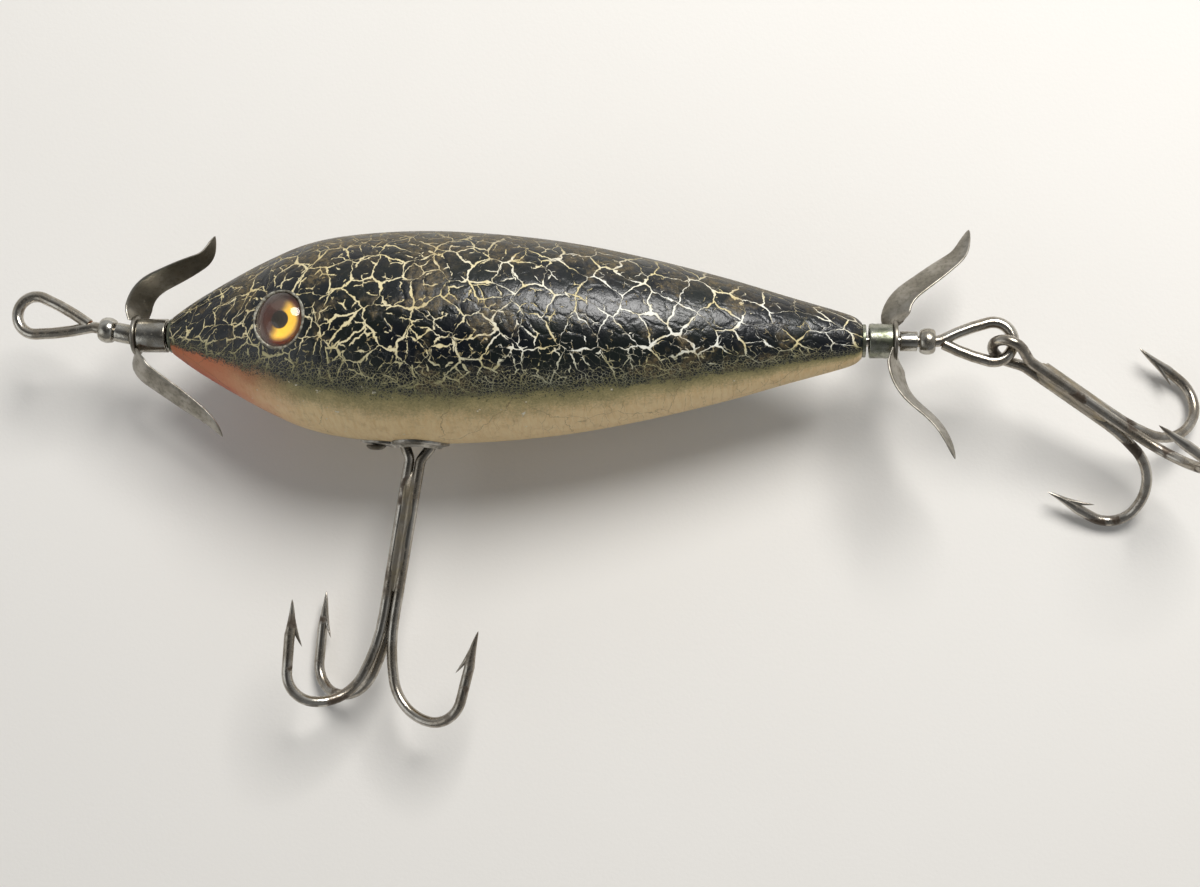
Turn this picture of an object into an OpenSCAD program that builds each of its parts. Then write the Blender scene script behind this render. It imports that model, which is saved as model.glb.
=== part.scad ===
// Wooden propeller minnow: a painted wooden body with glass eyes, a spinning propeller at each end,
// a treble hook on a belly hanger and a treble hook on the tail eye.
// It lies on its right side, as on a bench. +X runs from nose to tail, +Y towards the back, +Z is up.
// The origin is the middle of the line tie's far arc. Stations are measured along the body's axis
// from the face of the nose washer, and heights across the body from its axis.

/* [Body] */
// Length of the body with its washers
body_length = 92; // [90:0.5:94]
// Largest radius of the body
body_radius = 14; // [13.6:0.1:14.3]
// Roll of the body about its axis as it lies, belly towards the table
lie_roll = 7; // [5:0.5:8]

/* [Eyes] */
// Diameter of the glass eyes
eye_d = 7.3; // [6.8:0.1:7.5]
// Station of the eyes
eye_station = 17.5; // [16.5:0.5:18.5]
// Angle of the eyes above the body's side, towards the back
eye_rise = 9; // [6:1:12]
// How far the glass stands out of the paint
eye_bulge = 1.3; // [1:0.1:1.5]

/* [Wire hardware] */
// Diameter of the wire in the screw eyes
wire_d = 1.5; // [1.4:0.05:1.55]
// Diameter of the wire in the hooks
hook_d = 1.4; // [1.3:0.05:1.45]
// Radial running clearance of the spinning parts on the wire
spin_clear = 0.08; // [0.05:0.01:0.1]
// Bend of the line tie's wire towards the back, just ahead of its propeller
tie_bend = 10.9; // [9.9:0.5:12.4]

/* [Propellers] */
// Reach of the front blades from the axis
front_reach = 13.4; // [13:0.1:13.8]
// Reach of the rear blades from the axis
rear_reach = 16.3; // [15.8:0.1:16.5]
// Width of the blades at their root
blade_w = 4.6; // [4.2:0.1:4.8]
// Pitch of the blades
blade_pitch = 33; // [28:1:36]
// Outer diameter of the hub tubes
hub_d = 4.5; // [4.2:0.1:4.7]
// Diameter of the beads
bead_d = 3.45; // [3.2:0.05:3.6]

/* [Hooks] */
// Length of the belly treble from the fork of its eye to the bottom of its bends
belly_treble_length = 33; // [32:0.5:34]
// Length of the tail treble from the fork of its eye to the bottom of its bends
tail_treble_length = 24.2; // [23.6:0.2:25]
// Swing of the belly treble towards the nose, at rest
belly_lean = 9; // [5:1:12]
// Angle of the tail treble below the body's axis, seen from above
tail_lean = 32; // [30:1:34]
// Slope of the tail treble down to the table
tail_droop = 15.5; // [14:0.5:17]

/* [Hidden] */

$fn = 48;
SLIP = 0.02;                        // keeps pieces of one body from sharing a surface
PAINTED = "#20231f";
STEEL = "#8d8778";
NICKEL = "#a7a296";
SOLDER = "#77705c";

// Radii of the body at stations, joined by a smooth curve
washer_t = 0.5;
body_front = 0.05 + washer_t + SLIP;
body_back = body_length - washer_t - SLIP;
body_outline = [[body_front, 2.6], [4, 4.9], [9, 7.75], [14, 10.3], [19, 12.3], [25, 13.45],
                [34, body_radius], [44, 13.6], [54, 12.45], [64, 10.5], [74, 8], [82, 5.65],
                [88, 3.95], [90.5, 3.1], [body_back, 2.3]];
outline_steps = 5;                  // points between two stations

// Screw eyes: each leg of the loop leans out from the wire and curves round a wide far arc
loop_r = 2.55;
ease_r = 2;
shank_in_wood = 15;
tie_bend_at = -5.1;                 // station where the line tie's wire bends
tie_reach = 13.94;                  // from there to the middle of its far arc
tie_leg = [24, 12];                 // lean of a leg, and how much of it the leg's curve takes back
tail_reach = 16.3;                  // from the tail to the middle of the tail eye's far arc
tail_leg = [28, 14];
butt_share = 0.78;                  // how much of its leg the cut end of the wire keeps
tie_ease = 0.2;                     // half length of the bend in the line tie's wire
loop_sides = 14;
hook_sides = 10;
bend_step = 14;                     // largest turn between two rings of a bent wire

// Spinning parts
front_hub_at = [-4.35, -0.35];      // spans of stations
front_disc_at = [-4.9, -4.4];
rear_hub_at = [0.4, 3.5];           // from the tail
rear_disc_at = [3.55, 4.05];
collar_d = 2.6;
collar_length = 2.2;
bead_length = 2;
front_collar_at = 0.2;              // from the bend, outwards
rear_collar_at = 4.4;               // from the tail
bead_gap = 0.28;
hub_wall = 0.6;
disc_d = 5.4;
blade_t = 0.5;
blade_root = 1.9;
blade_steps = 22;
// Heading of each blade's middle line from the axis: where it starts to lean back and how far, and
// where its tip turns up again, as shares of its length and angles
front_sweeps = [[0.44, 26, 0.72, 0.2, 72], [0.26, 34, 0.68, 0.49, 67]];
rear_sweeps = [[0.39, 39, 0.69, 0.2, 71], [0.55, 41, 0.47, 0.5, 73]];
front_roll = 4;                     // turn of each propeller about the axis at rest
rear_roll = -16;
front_twist = [0, 6];               // how each blade is bent away from the common pitch
rear_twist = [22, -1];

// Belly hanger, in the rolled frame of the body
hanger_station = 33.5;
seat_height = -13.45;               // flat cut in the belly
hanger_t = 0.7;
hanger_r = 4.2;
cup_r = 3.2;
cup_bore_r = 2.95;
cup_top = -10.2;
pin_height = -13.6;                 // axis of the cross pin that carries the treble
pin_r = 0.62;
screw_at = -5.6;                    // from the hanger's station
lobe_r = 1.7;

// Treble hooks
belly_ring_r = 1.9;                 // middle of the wire in a treble's eye
tail_ring_r = 2.1;
fork_turn = 30;
fork_r = 2;
pair_gap = hook_d / 2 + 0.03;       // from the middle of the shank to each wire of the pair
function fork_run(ring_r) =
    (ring_r * cos(fork_turn) - pair_gap - fork_r * (1 - cos(fork_turn))) / sin(fork_turn);
function fork_length(ring_r) = (fork_r + ring_r) * sin(fork_turn) + fork_run(ring_r) * cos(fork_turn);
single_offset = -1.25;              // third wire, beside the pair
solder_r = 1.25;
single_start = 2;                   // of the third wire, past the fork
// Flare and bend of a hook: [radius, turn] of the flare, then the radii of bend and crown, then the
// run to the point
belly_bend = [24, 20, 6.5, 4.1, 9.4];
tail_bend = [24, 14, 7.3, 4, 6.9];
crown_turn = 85;
point_length = 4.8;
belly_azimuths = [18, 155, 212];    // from the tail side, turning upwards: two of the pair, the single
tail_azimuths = [90, 210, -30];
tail_eye_twist = 62;                // turn of the tail treble's eye about its shank
tail_eye_slack = 0.3;               // how far that eye's middle lies in from the wire it hangs on

// Frame: the nose and the axis, seen from the line tie's eye
nose_x = -tie_bend_at + tie_reach * cos(tie_bend);
axis_y = -tie_reach * sin(tie_bend);
tail_x = nose_x + body_length;

// ---------- shared shapes ----------

// Curve through a list of points (Catmull-Rom), and all its points
function knot(p, i) = p[min(max(i, 0), len(p) - 1)];
function curve_point(p, i, t) = 0.5 * (2 * knot(p, i) + (knot(p, i + 1) - knot(p, i - 1)) * t
    + (2 * knot(p, i - 1) - 5 * knot(p, i) + 4 * knot(p, i + 1) - knot(p, i + 2)) * t * t
    + (3 * knot(p, i) - knot(p, i - 1) - 3 * knot(p, i + 1) + knot(p, i + 2)) * t * t * t);
function smooth(p, n) =
    [for (i = [0 : len(p) - 2]) for (k = [0 : n - 1]) curve_point(p, i, k / n), p[len(p) - 1]];

// Moves to a station on the body's axis
module on_axis(station = 0) translate([nose_x + station, axis_y, 0]) children();

// The same, rolled with the body, so that +Y is its back
module on_body(station = 0) on_axis(station) rotate([lie_roll, 0, 0]) children();

// A cylinder and a tube along +X
module rod(d, h) rotate([0, 90, 0]) cylinder(d = d, h = h);
module tube(d, bore, h) difference() {
    rod(d, h);
    translate([-1, 0, 0]) rod(bore, h + 2);
}

// A closed skin over rings of points, each ring turning the same way round the path
module skin(rings) {
    n = len(rings[0]);
    last = n * (len(rings) - 1);
    quads = [for (i = [0 : len(rings) - 2]) for (k = [0 : n - 1])
        [n * i + k, n * i + n + k, n * i + n + (k + 1) % n, n * i + (k + 1) % n]];
    polyhedron([for (ring = rings) each ring],
               [[for (k = [0 : n - 1]) k], [for (k = [n - 1 : -1 : 0]) last + k],
                for (q = quads) [q[0], q[1], q[2]], for (q = quads) [q[0], q[2], q[3]]]);
}

// Bent wire. A frame is [place, heading, left, radius]. A step is [length, 0, roll, end radius],
// straight on while the frame rolls and the wire tapers, or [bend radius, angle], where a positive
// angle turns left.
function given(v, other) = is_undef(v) ? other : v;
function bent(f, r, a) = let(left = f[2] * cos(a) - f[1] * sin(a))
    [f[0] + sign(a) * r * (f[2] - left), f[1] * cos(a) + f[2] * sin(a), left, f[3]];
function run_on(f, length, roll, end_r, share) =
    [f[0] + f[1] * length * share, f[1],
     f[2] * cos(roll * share) + cross(f[1], f[2]) * sin(roll * share),
     f[3] + (end_r - f[3]) * share];
function part_step(f, s, share) =
    s[1] == 0 ? run_on(f, s[0], given(s[2], 0), given(s[3], f[3]), share)
    : bent(f, s[0], s[1] * share);
function frames(f, steps, i = 0) = i >= len(steps) ? []
    : let(n = max(1, ceil(max(abs(steps[i][1]), abs(given(steps[i][2], 0))) / bend_step)),
          these = [for (k = [1 : n]) part_step(f, steps[i], k / n)])
      concat(these, frames(these[n - 1], steps, i + 1));
function start_frame(place, heading, left, d) = [place, heading, left, d / 2];
function path_frames(first, steps) = concat([first], frames(first, steps));
function ring(f, sides) = [for (k = [0 : sides - 1]) let(a = 360 * k / sides)
    f[0] + f[3] * (cos(a) * f[2] + sin(a) * cross(f[1], f[2]))];

// Draws children at a frame, with +X along its heading and +Y to its left
module at_frame(f) {
    up = cross(f[1], f[2]);
    multmatrix([for (k = [0 : 2]) [f[1][k], f[2][k], up[k], f[0][k]]]) children();
}

// ---------- body and eyes ----------

module body_blank() rotate([0, 90, 0]) rotate_extrude($fn = 96)
    polygon([[0, body_front],
             for (q = smooth(body_outline, outline_steps)) [q[1], q[0]],
             [0, body_back]]);

// Moves to an eye, with +Z out of the head and 0 at the paint. side is 1 for the left eye, -1 for
// the right
module at_eye(side) {
    head_taper = 19;
    on_body(eye_station) rotate([side > 0 ? -eye_rise : 180 + eye_rise, 0, 0])
        translate([0, 0, lookup(eye_station, body_outline)]) rotate([0, -head_taper, 0]) children();
}

// A hole or plug that goes up into the belly from below, at a distance from the hanger's station
module up_from_belly(d, top, h, at = 0) on_body(hanger_station + at)
    rotate([90, 0, 0]) translate([0, 0, -top]) cylinder(d = d, h = h);

module body() color(PAINTED) difference() {
    on_body() body_blank();
    on_axis(-1) rod(wire_d + 0.1, shank_in_wood + 1.5);
    on_axis(body_length - shank_in_wood - 0.5) rod(wire_d + 0.1, shank_in_wood + 2);
    on_body(hanger_station) translate([-7.6, -20, -hanger_r - 0.1])
        cube([7.6 + hanger_r + 0.1, 20 + seat_height, 2 * hanger_r + 0.2]);
    up_from_belly(2 * cup_r + 0.1, cup_top + 0.05, 8);
    up_from_belly(5.1, -3.9, 7);
    up_from_belly(1.1, -6.9, 8, screw_at);
    for (side = [1, -1]) at_eye(side) {
        translate([0, 0, -1.39]) cylinder(d = eye_d + 0.1, h = 8);
        translate([0, 0, -9.1]) cylinder(d = 1.1, h = 8);
    }
}

module ballast_weight() color("#6d6f72") up_from_belly(5, -4, 5.9);

module nose_washer() color(NICKEL) on_axis(0.05) tube(4.6, wire_d + 0.12, washer_t);
module tail_washer() color(NICKEL) on_axis(body_length - washer_t) tube(4.3, wire_d + 0.12, washer_t);

module eye_pin(side) color(STEEL) at_eye(side) translate([0, 0, -9]) cylinder(d = 1, h = 7.6);
module eye_iris(side) color("#c98a1c") at_eye(side)
    translate([0, 0, -1.37]) cylinder(d = eye_d - 0.1, h = 0.4);
module eye_glass(side) color("#3a1208") at_eye(side) {
    r = eye_d / 2 - 0.05;
    rim = -0.5;
    cap = eye_bulge - rim;
    ball = (r * r + cap * cap) / (2 * cap);
    translate([0, 0, -0.95]) cylinder(r = r, h = 0.95 + rim);
    intersection() {
        translate([0, 0, eye_bulge - ball]) sphere(ball);
        translate([0, 0, rim]) cylinder(r = r, h = cap + 1);
    }
}

// ---------- screw eyes ----------

function leg_r(leg) = (loop_r * cos(leg[0] - leg[1]) - ease_r * (1 - cos(leg[0])))
    / (cos(leg[0] - leg[1]) - cos(leg[0]));
function loop_run(leg) =
    (ease_r + leg_r(leg)) * sin(leg[0]) + (loop_r - leg_r(leg)) * sin(leg[0] - leg[1]);

// Loop of a screw eye: along its lead, out to the left and round to its cut end
module eye_loop(first, lead, leg) {
    loop = [[ease_r, leg[0]], [leg_r(leg), -leg[1]],
            [loop_r, -180 - 2 * (leg[0] - leg[1])], [leg_r(leg), -leg[1] * butt_share]];
    skin([for (f = path_frames(first, concat(lead, loop))) ring(f, loop_sides)]);
}

module line_tie() color(STEEL) on_axis(tie_bend_at + tie_ease) {
    rod(wire_d, shank_in_wood - tie_bend_at - tie_ease);
    eye_loop(start_frame([0, 0, 0], [-1, 0, 0], [0, -1, 0], wire_d),
             [[tie_ease / tan(tie_bend / 2), -tie_bend], [tie_reach - tie_ease - loop_run(tie_leg), 0]],
             tie_leg);
}

module tail_eye() color(STEEL) {
    straight = tail_reach - loop_run(tail_leg);
    on_axis(body_length + straight) {
        mirror([1, 0, 0]) rod(wire_d, shank_in_wood + straight);
        eye_loop(start_frame([0, 0, 0], [1, 0, 0], [0, 1, 0], wire_d), [], tail_leg);
    }
}

// ---------- propellers, collars and beads ----------

function ease(u) = let(c = min(max(u, 0), 1)) c * c * (3 - 2 * c);
function heading(t, s) = 90 - (90 - s[1]) * ease(t / s[0]) + (s[4] - s[1]) * ease((t - s[2]) / s[3]);
function middle(i) = (i + 0.5) / blade_steps;
function blade_step(s, reach) = (reach - blade_root)
    / (let(all = [for (i = [0 : blade_steps - 1]) sin(heading(middle(i), s))]) all * [for (v = all) 1]);
// Points [along the axis, from the axis] of a blade's middle line
function blade_line(s, reach) = let(step = blade_step(s, reach))
    [for (i = 0, x = 0, r = blade_root; i <= blade_steps;
          x = x + step * cos(heading(middle(i), s)),
          r = r + step * sin(heading(middle(i), s)), i = i + 1) [x, r]];
function half_width(t) = blade_w / 2 * (1 - 0.3 * t) * sqrt(1.002 - pow(max(t - 0.5, 0) / 0.5, 3));

// One blade towards +Y, its root beside the axis. hand is the sense of its pitch.
module blade(s, reach, hand, pitch) {
    line = blade_line(s, reach);
    skin([for (i = [0 : blade_steps]) let(t = i / blade_steps, h = heading(t, s))
        [for (c = [[1, 1], [-1, 1], [-1, -1], [1, -1]])
            let(across = c[0] * half_width(t), thick = c[1] * blade_t / 2,
                flat = across * sin(pitch) * hand + thick * cos(pitch))
            [line[i][0] + flat * sin(h), line[i][1] - flat * cos(h),
             across * cos(pitch) - thick * sin(pitch) * hand]]]);
}

module propeller(at, sweeps, reach, hand, roll, twist) rotate([roll, 0, 0]) {
    for (i = [0, 1]) rotate([180 * i, 0, 0]) translate([at[0] + blade_t / 2, 0, 0])
        blade(sweeps[i], reach, hand, blade_pitch + twist[i]);
    translate([at[0], 0, 0]) tube(disc_d, wire_d + 2 * spin_clear, at[1] - at[0]);
}

module hub(at) translate([at[0] + SLIP, 0, 0]) difference() {
    rod(hub_d, at[1] - at[0] - SLIP);
    translate([hub_wall, 0, 0]) rod(hub_d - 2 * hub_wall, at[1] - at[0]);
    translate([-1, 0, 0]) rod(wire_d + 2 * spin_clear, 3);
}

module collar() tube(collar_d, wire_d + 2 * spin_clear, collar_length);

// A ball with flat ends, bored for the wire
module bead() difference() {
    intersection() {
        translate([bead_length / 2, 0, 0]) sphere(d = bead_d);
        rod(bead_d + 1, bead_length);
    }
    translate([-1, 0, 0]) rod(wire_d + 2 * spin_clear, bead_length + 2);
}

// Moves out along the bent wire of the line tie
module on_tie(out) on_axis(tie_bend_at) rotate([0, 0, 180 - tie_bend])
    translate([out, 0, 0]) children();

module front_blades() color(NICKEL) on_axis()
    propeller(front_disc_at, front_sweeps, front_reach, -1, front_roll, front_twist);
module front_hub() color(NICKEL) on_axis() hub(front_hub_at);
module front_collar() color(NICKEL) on_tie(front_collar_at) collar();
module front_bead() color(NICKEL) on_tie(front_collar_at + collar_length + bead_gap) bead();
module rear_blades() color(NICKEL) on_axis(body_length)
    propeller(rear_disc_at, rear_sweeps, rear_reach, 1, rear_roll, rear_twist);
module rear_hub() color(NICKEL) on_axis(body_length)
    translate([rear_hub_at[0] + rear_hub_at[1], 0, 0]) mirror([1, 0, 0]) hub(rear_hub_at);
module rear_collar() color(NICKEL) on_axis(body_length + rear_collar_at) collar();
module rear_bead() color(NICKEL) on_axis(body_length + rear_collar_at + collar_length + bead_gap) bead();

// ---------- belly hanger ----------

module belly_hanger() color(NICKEL) {
    difference() {
        union() {
            on_body(hanger_station) rotate([90, 0, 0]) translate([0, 0, -seat_height])
                linear_extrude(hanger_t) hull() {
                    circle(hanger_r);
                    translate([screw_at, 0]) circle(lobe_r);
                }
            up_from_belly(2 * cup_r, cup_top, cup_top - seat_height + 0.3);
        }
        up_from_belly(2 * cup_bore_r, cup_top + 1, 8);
        up_from_belly(1.3, -9, 8, screw_at);
    }
    on_body(hanger_station) translate([0, pin_height, -cup_r + 0.05])
        cylinder(r = pin_r, h = 2 * cup_r - 0.1);
}

module hanger_screw() color(STEEL) {
    up_from_belly(1, -7, 7.3, screw_at);
    on_body(hanger_station + screw_at) translate([0, seat_height - hanger_t - SLIP, 0])
        rotate([90, 0, 0]) intersection() {
            translate([0, 0, -0.6]) sphere(1.4);
            cylinder(r = 2, h = 2);
        }
}

// ---------- treble hooks ----------

// Steps of one hook: shank, flare, bend, crown and point. roll turns the bend about the shank.
function hook_steps(length, bend, roll = 0) =
    [[length - bend[0] * sin(bend[1]) - bend[2] * (1 - sin(bend[1])), 0, roll],
     [bend[0], bend[1]],
     [bend[2], 90 - bend[1]],
     [bend[3], crown_turn],
     [bend[4] - point_length, 0],
     [point_length, 0, 0, 0.06]];

// Barb cut from the inner side of a hook's point, at the last but one frame of the hook
module barb(path) at_frame(path[len(path) - 2]) translate([0, 0, -0.35]) linear_extrude(0.7)
    polygon([[2.2, 0.2], [-1.4, 1.75], [-1.1, 1.35], [-0.3, 0.2]]);

// Half of a pair, from the top of its eye: round the eye, through the fork and on into the hook
function half_path(ring_r, length, bend, roll) =
    path_frames(start_frame([-ring_r, 0, 0], [0, 1, 0], [-1, 0, 0], hook_d),
                concat([[ring_r, -90 - fork_turn], [fork_run(ring_r), 0], [fork_r, fork_turn]],
                       hook_steps(length, bend, roll)));
function flipped(p) = [p[0], -p[1], p[2]];

// Two hooks of one wire, joined by its eye round the origin. The shank runs along +X.
module treble_pair(ring_r, length, bend, azimuths, twist) rotate([twist, 0, 0]) {
    one = half_path(ring_r, length, bend, azimuths[0] - twist);
    two = half_path(ring_r, length, bend, 180 - azimuths[1] + twist);
    skin([for (i = [len(two) - 1 : -1 : 1]) [for (p = ring(two[i], hook_sides)) flipped(p)],
          for (f = one) ring(f, hook_sides)]);
    barb(one);
    mirror([0, 1, 0]) barb(two);
}

module treble_single(ring_r, length, bend, azimuths, twist) {
    path = path_frames(start_frame([0, 0, 0], [1, 0, 0], [0, 1, 0], hook_d),
                       hook_steps(length - single_start, bend));
    rotate([twist, 0, 0]) translate([fork_length(ring_r) + single_start, 0, single_offset])
        rotate([azimuths[2] - twist, 0, 0]) {
            skin([for (f = path) ring(f, hook_sides)]);
            barb(path);
        }
}

// Solder run in between the three wires
module treble_solder(ring_r, length, twist) {
    start = fork_length(ring_r) + single_start + 1;
    run = length * 0.45 - single_start - 1;
    rotate([twist, 0, 0]) difference() {
        translate([start, 0, single_offset / 3]) rod(2 * solder_r, run);
        for (p = [[pair_gap, 0], [-pair_gap, 0], [0, single_offset]])
            translate([start - 1, p[0], p[1]]) rod(hook_d + 2 * SLIP, run + 2);
    }
}

// Moves to a treble's eye, with +X along its shank
module on_belly_pin() on_body(hanger_station) translate([0, pin_height, 0])
    rotate([0, 0, -90 - belly_lean]) children();
module on_tail_link() translate([tail_x + tail_reach, axis_y, 0]) rotate([0, 0, -tail_lean])
    translate([loop_r, 0, 0]) rotate([0, tail_droop, 0]) translate([-tail_eye_slack, 0, 0]) children();

module belly_treble_pair() color(STEEL) on_belly_pin()
    treble_pair(belly_ring_r, belly_treble_length, belly_bend, belly_azimuths, 0);
module belly_treble_single() color(STEEL) on_belly_pin()
    treble_single(belly_ring_r, belly_treble_length, belly_bend, belly_azimuths, 0);
module belly_treble_solder() color(SOLDER) on_belly_pin()
    treble_solder(belly_ring_r, belly_treble_length, 0);
module tail_treble_pair() color(STEEL) on_tail_link()
    treble_pair(tail_ring_r, tail_treble_length, tail_bend, tail_azimuths, tail_eye_twist);
module tail_treble_single() color(STEEL) on_tail_link()
    treble_single(tail_ring_r, tail_treble_length, tail_bend, tail_azimuths, tail_eye_twist);
module tail_treble_solder() color(SOLDER) on_tail_link()
    treble_solder(tail_ring_r, tail_treble_length, tail_eye_twist);

body();
nose_washer();
tail_washer();
ballast_weight();
eye_glass(1);  // left_eye_glass
eye_iris(1);  // left_eye_iris
eye_pin(1);  // left_eye_pin
eye_glass(-1);  // right_eye_glass
eye_iris(-1);  // right_eye_iris
eye_pin(-1);  // right_eye_pin
line_tie();
tail_eye();
belly_hanger();
hanger_screw();
front_hub();
front_blades();
front_collar();
front_bead();
rear_hub();
rear_blades();
rear_collar();
rear_bead();
belly_treble_pair();
belly_treble_single();
belly_treble_solder();
tail_treble_pair();
tail_treble_single();
tail_treble_solder();
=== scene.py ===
import math

import bmesh
import bpy
from mathutils import Euler, Matrix, Vector


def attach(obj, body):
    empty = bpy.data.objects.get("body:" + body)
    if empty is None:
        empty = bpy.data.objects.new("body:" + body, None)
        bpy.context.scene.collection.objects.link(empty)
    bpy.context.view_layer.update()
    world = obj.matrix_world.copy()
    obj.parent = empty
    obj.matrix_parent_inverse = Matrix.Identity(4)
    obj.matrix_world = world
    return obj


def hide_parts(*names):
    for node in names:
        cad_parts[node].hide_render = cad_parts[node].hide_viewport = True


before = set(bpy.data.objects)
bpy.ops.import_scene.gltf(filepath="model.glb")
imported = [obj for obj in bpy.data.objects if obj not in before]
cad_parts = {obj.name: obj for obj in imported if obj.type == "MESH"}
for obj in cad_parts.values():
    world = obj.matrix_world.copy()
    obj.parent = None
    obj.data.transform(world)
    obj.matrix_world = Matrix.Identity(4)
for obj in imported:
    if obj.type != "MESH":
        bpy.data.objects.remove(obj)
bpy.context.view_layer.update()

MM = 0.001
TINY = 0.001           # radius in mm that closes a turned shape on its axis


def sin(degrees):
    return math.sin(math.radians(degrees))


def cos(degrees):
    return math.cos(math.radians(degrees))


# ---------- the part's dimensions, in mm and degrees ----------
BODY_LENGTH, LIE_ROLL = 92, 7
OUTLINE = [(0.57, 2.6), (4, 4.9), (9, 7.75), (14, 10.3), (19, 12.3), (25, 13.45), (34, 14), (44, 13.6),
           (54, 12.45), (64, 10.5), (74, 8), (82, 5.65), (88, 3.95), (90.5, 3.1), (91.48, 2.3)]

# wire eyes: a leg is the angle it leaves the shank at, and how far it then turns back
WIRE_D, LOOP_R, EASE_R, BUTT_SHARE = 1.5, 2.55, 2, 0.97
TIE_BEND, TIE_BEND_AT, TIE_REACH, TIE_EASE, TIE_LEG = 10.9, -5.1, 13.94, 0.2, (24, 12)
TAIL_REACH, TAIL_LEG = 16.3, (28, 14)
SHANK_DEPTH = 15       # length of shank modelled inside the body

# where the nose and tail are when the line tie's far arc is at the origin
NOSE_X = -TIE_BEND_AT + TIE_REACH * cos(TIE_BEND)
AXIS_Y = -TIE_REACH * sin(TIE_BEND)
TAIL_X = NOSE_X + BODY_LENGTH

EYE_STATION, EYE_RISE, EYE_TAPER, EYE_R, EYE_BULGE = 17.5, 9, 19, 3.6, 1.3
HANGER_STATION, PIN_HEIGHT, SCREW_AT = 33.5, -13.6, -5.6
CUP_R, CUP_WALL, CUP_FLOOR, CUP_LIP = 2.95, 0.25, 10.2, 14.05

# what turns on the wire; a sweep is (share of the blade over which it leans over, its heading then,
# share where it starts to turn up again, share that this takes, heading at the tip)
BORE_R = 0.84
DISC_R, DISC_THICK, HUB_R, HUB_WALL = 2.7, 0.5, 2.25, 0.6
COLLAR_LENGTH, COLLAR_R, BEAD_LENGTH, BEAD_R, BEAD_END_R, BEAD_GAP = 2.2, 1.3, 2, 1.725, 1.32, 0.28
BLADE_W, BLADE_THICK, BLADE_ROOT, BLADE_DISH = 4.6, 0.5, 1.9, 0.10
FRONT_SWEEPS = ((0.44, 26, 0.72, 0.2, 72), (0.26, 34, 0.68, 0.49, 67))
REAR_SWEEPS = ((0.39, 39, 0.69, 0.2, 71), (0.55, 41, 0.47, 0.5, 73))

# treble hooks
HOOK_D, POINT = 1.4, 4.8
FORK_TURN, FORK_R, FORK_GAP = 30, 2, HOOK_D / 2 + 0.03
SINGLE_OFFSET, SINGLE_START = -1.25, 2


def at(x, y, z):
    return Matrix.Translation(Vector((x, y, z)) * MM)


def turn(angle, axis):
    return Matrix.Rotation(math.radians(angle), 4, axis)


def on_axis(station=0):
    """A place on the body's axis, measured from the nose."""
    return at(NOSE_X + station, AXIS_Y, 0)


def on_body(station=0):
    """The same place, turned with the body as it lies on the table."""
    return on_axis(station) @ turn(LIE_ROLL, "X")


# ---------- meshes: a shape is its verts in mm and its faces ----------
def add_mesh(name, shape, place, material, body, node=None, smooth_angle=38, end_material=None):
    """A piece that rides on a body and stands for a CAD node. The last face may have its own material."""
    verts, faces = shape
    mesh = bpy.data.meshes.new(name)
    mesh.from_pydata([place @ (Vector(v) * MM) for v in verts], [], faces)
    mesh.validate()
    made = bmesh.new()
    made.from_mesh(mesh)
    bmesh.ops.recalc_face_normals(made, faces=made.faces)
    made.to_mesh(mesh)
    made.free()
    mesh.materials.append(material)
    if end_material:
        mesh.materials.append(end_material)
        mesh.polygons[len(faces) - 1].material_index = 1
    smooth(mesh, smooth_angle)
    piece = bpy.data.objects.new(name, mesh)
    bpy.context.scene.collection.objects.link(piece)
    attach(piece, body)
    if node:
        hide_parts(node)
    return piece


def smooth(mesh, angle):
    """Smooth shading that stays sharp at edges steeper than an angle."""
    for polygon in mesh.polygons:
        polygon.use_smooth = True
    mesh.set_sharp_from_angle(angle=math.radians(angle))


def around(count):
    """Angles in radians that divide a full turn."""
    return [2 * math.pi * k / count for k in range(count)]


def skin(rings, capped=True):
    """The shape of a skin over rings of points, open or capped at its ends."""
    n = len(rings[0])
    verts = [p for points in rings for p in points]
    faces = []
    for i in range(len(rings) - 1):
        for k in range(n):
            a, b = n * i + k, n * i + (k + 1) % n
            faces.append((a, b, b + n, a + n))
    if capped:
        last = n * (len(rings) - 1)
        faces.append(tuple(range(n - 1, -1, -1)))
        faces.append(tuple(range(last, last + n)))
    return verts, faces


def looped_skin(rings):
    """The shape of a skin whose last ring of points meets its first."""
    verts, faces = skin(rings + [rings[0]], capped=False)
    total = len(rings) * len(rings[0])
    return verts[:total], [tuple(i % total for i in face) for face in faces]


def joined_shapes(shapes):
    verts, faces = [], []
    for more_verts, more_faces in shapes:
        base = len(verts)
        verts += list(more_verts)
        faces += [tuple(i + base for i in face) for face in more_faces]
    return verts, faces


def moved_shape(shape, matrix):
    return [matrix @ Vector(v) for v in shape[0]], shape[1]


def turned(profile, segments=72):
    """Rings of (x, radius) points turned round the X axis."""
    return [[(x, r * math.cos(a), r * math.sin(a)) for a in around(segments)] for x, r in profile]


def rounded(points, r, steps=4):
    """A closed profile with its corners rounded."""
    out = []
    for i, point in enumerate(points):
        corner = Vector(point)
        before = Vector(points[i - 1]) - corner
        after = Vector(points[(i + 1) % len(points)]) - corner
        cut = min(r, before.length * 0.45, after.length * 0.45)
        a, b = corner + before.normalized() * cut, corner + after.normalized() * cut
        for k in range(steps + 1):
            t = k / steps
            out.append(tuple((1 - t) ** 2 * a + 2 * t * (1 - t) * corner + t * t * b))
    return out


def tube(x0, x1, inner, outer, corner, segments=72):
    """A turned ring with rounded corners."""
    profile = rounded([(x0, inner), (x1, inner), (x1, outer), (x0, outer)], corner)
    return looped_skin(turned(profile, segments))


# ---------- bent wire: a station on it is its point, heading, left and radius ----------
def start(point, heading, left, diameter):
    return Vector(point), Vector(heading), Vector(left), diameter / 2


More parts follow.
